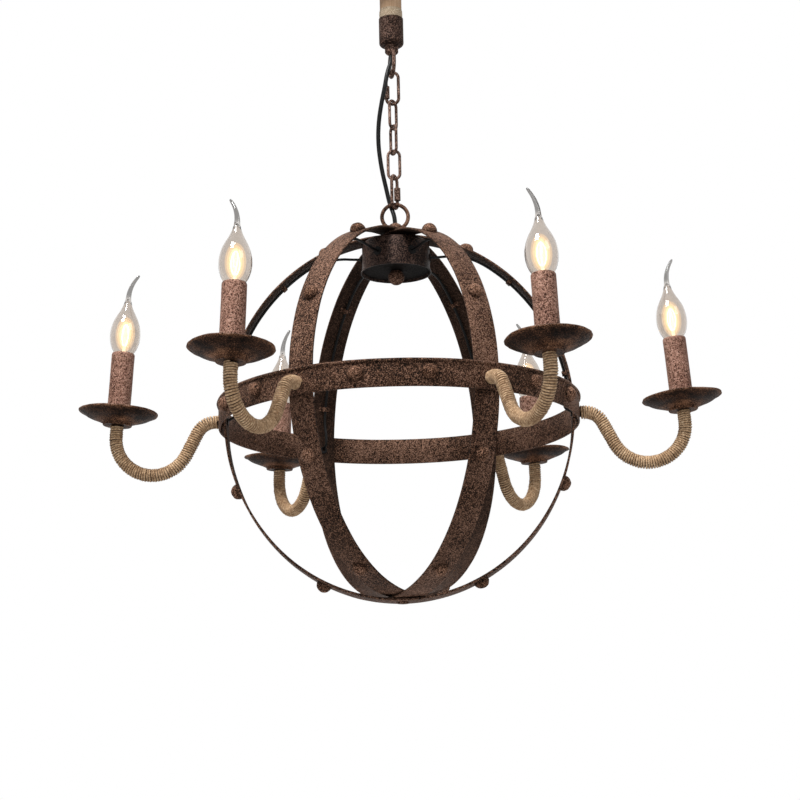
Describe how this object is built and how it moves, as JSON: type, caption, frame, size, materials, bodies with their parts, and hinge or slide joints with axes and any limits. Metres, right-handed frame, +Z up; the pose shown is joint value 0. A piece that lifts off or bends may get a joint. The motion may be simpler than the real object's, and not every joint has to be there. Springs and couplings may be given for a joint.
{
  "type": "orb chandelier",
  "caption": "Open orb cage of riveted iron hoops and a belt ring, with twine-wound arms that carry drip pans and candle lamps, hung from a ceiling canopy by a short chain.",
  "frame": {"origin": "middle of the ceiling bracket's top face, between its two ceiling screw holes", "axes": "+Z up along the stem and the orb's axis; -Y is the front in the picture; arms stand at multiples of 60 degrees from +X"},
  "size_m": [0.6856, 0.6052, 0.7297],
  "materials": {
    "zinc_steel": "dull zinc",
    "aged_iron": "dark rust brown with fine copper and grey speckle",
    "dark_steel": "dark brown",
    "terminal_plastic": "natural nylon",
    "hemp": "woven hemp rope",
    "chain_iron": "rust brown",
    "cable_black": "matt black sheath",
    "grommet_black": "matt black",
    "pan_iron": "dark rust brown, nearly black below",
    "sleeve_iron": "pinkish rust with dark speckle",
    "holder_plastic": "dark phenolic",
    "jute": "wound jute twine",
    "bulb_glass": "clear glass, brass screw cap"
  },
  "bodies": {
    "ceiling_mount": {"ceiling_bracket": "zinc_steel", "canopy": "aged_iron", "canopy_screws": "dark_steel", "terminal_block": "terminal_plastic", "stem_tube": "zinc_steel", "stem_nuts": "zinc_steel", "stem_sheath": "hemp", "ferrule": "aged_iron", "upper_loop": "aged_iron", "supply_cable": "cable_black"},
    "link_1": {"quick_link_upper": "chain_iron"},
    "link_1_nut": {"quick_link_upper_nut": "chain_iron"},
    "link_2": {"chain_link_2": "chain_iron"},
    "link_3": {"chain_link_3": "chain_iron"},
    "link_4": {"chain_link_4": "chain_iron"},
    "link_5": {"quick_link_lower": "chain_iron"},
    "link_5_nut": {"quick_link_lower_nut": "chain_iron"},
    "orb": {"hub_loop": "aged_iron", "hub_nipple": "zinc_steel", "hub_nuts": "dark_steel", "hub_drum": "aged_iron", "hub_cover": "dark_steel", "hub_finial": "aged_iron", "wire_grommets": "grommet_black", "hoop_front_left": "aged_iron", "hoop_front_right": "aged_iron", "hoop_side": "aged_iron", "hoop_rivets": "aged_iron", "belt_ring": "aged_iron", "belt_rivets": "aged_iron", "pole_rivet": "aged_iron", "belt_spacers": "aged_iron", "lamp_wires": "cable_black", "wire_clips": "aged_iron", "arm_tubes": "dark_steel", "lampholders": "holder_plastic", "arm_twine_1": "jute", "drip_pan_1": "pan_iron", "candle_sleeve_1": "sleeve_iron", "arm_twine_2": "jute", "drip_pan_2": "pan_iron", "candle_sleeve_2": "sleeve_iron", "arm_twine_3": "jute", "drip_pan_3": "pan_iron", "candle_sleeve_3": "sleeve_iron", "arm_twine_4": "jute", "drip_pan_4": "pan_iron", "candle_sleeve_4": "sleeve_iron", "arm_twine_5": "jute", "drip_pan_5": "pan_iron", "candle_sleeve_5": "sleeve_iron", "arm_twine_6": "jute", "drip_pan_6": "pan_iron", "candle_sleeve_6": "sleeve_iron"},
    "lamp_1": {"bulb_1": "bulb_glass"},
    "lamp_2": {"bulb_2": "bulb_glass"},
    "lamp_3": {"bulb_3": "bulb_glass"},
    "lamp_4": {"bulb_4": "bulb_glass"},
    "lamp_5": {"bulb_5": "bulb_glass"},
    "lamp_6": {"bulb_6": "bulb_glass"}
  },
  "joints": [
    {"name": "chain_hinge_1", "type": "hinge", "parent": "ceiling_mount", "child": "link_1", "pos_m": [0, 0, -0.1448], "axis": [-0.2079, 0.9781, 0], "range_deg": [-20, 20], "deforming": ["supply_cable"]},
    {"name": "chain_hinge_2", "type": "hinge", "parent": "link_1", "child": "link_2", "pos_m": [0, 0, -0.17765], "axis": [0.9945, -0.1045, 0], "range_deg": [-20, 20], "deforming": ["supply_cable"]},
    {"name": "chain_hinge_3", "type": "hinge", "parent": "link_2", "child": "link_3", "pos_m": [0, 0, -0.20645], "axis": [0.5446, 0.8387, 0], "range_deg": [-20, 20], "deforming": ["supply_cable"]},
    {"name": "chain_hinge_4", "type": "hinge", "parent": "link_3", "child": "link_4", "pos_m": [0, 0, -0.23535], "axis": [-0.5, 0.866, 0], "range_deg": [-20, 20], "deforming": ["supply_cable"]},
    {"name": "chain_hinge_5", "type": "hinge", "parent": "link_4", "child": "link_5", "pos_m": [0, 0, -0.26425], "axis": [-0.9994, -0.0349, 0], "range_deg": [-20, 20], "deforming": ["supply_cable"]},
    {"name": "chain_hinge_6", "type": "hinge", "parent": "link_5", "child": "orb", "pos_m": [0, 0, -0.29755], "axis": [0.4067, 0.9135, 0], "range_deg": [-20, 20], "deforming": ["supply_cable"]},
    {"name": "upper_nut_slide", "type": "slide", "parent": "link_1", "child": "link_1_nut", "axis": [0, 0, 1], "range_m": [0, 0.009]},
    {"name": "lower_nut_slide", "type": "slide", "parent": "link_5", "child": "link_5_nut", "axis": [0, 0, 1], "range_m": [0, 0.0053]},
    {"name": "bulb_pull_1", "type": "slide", "parent": "orb", "child": "lamp_1", "axis": [-0.0785, 0, 0.9969], "range_m": [0, 0.022]},
    {"name": "bulb_pull_2", "type": "slide", "parent": "orb", "child": "lamp_2", "axis": [-0.0392, -0.0679, 0.9969], "range_m": [0, 0.022]},
    {"name": "bulb_pull_3", "type": "slide", "parent": "orb", "child": "lamp_3", "axis": [0.0392, -0.0679, 0.9969], "range_m": [0, 0.022]},
    {"name": "bulb_pull_4", "type": "slide", "parent": "orb", "child": "lamp_4", "axis": [0.0785, 0, 0.9969], "range_m": [0, 0.022]},
    {"name": "bulb_pull_5", "type": "slide", "parent": "orb", "child": "lamp_5", "axis": [0.0392, 0.0679, 0.9969], "range_m": [0, 0.022]},
    {"name": "bulb_pull_6", "type": "slide", "parent": "orb", "child": "lamp_6", "axis": [-0.0392, 0.0679, 0.9969], "range_m": [0, 0.022]}
  ]
}
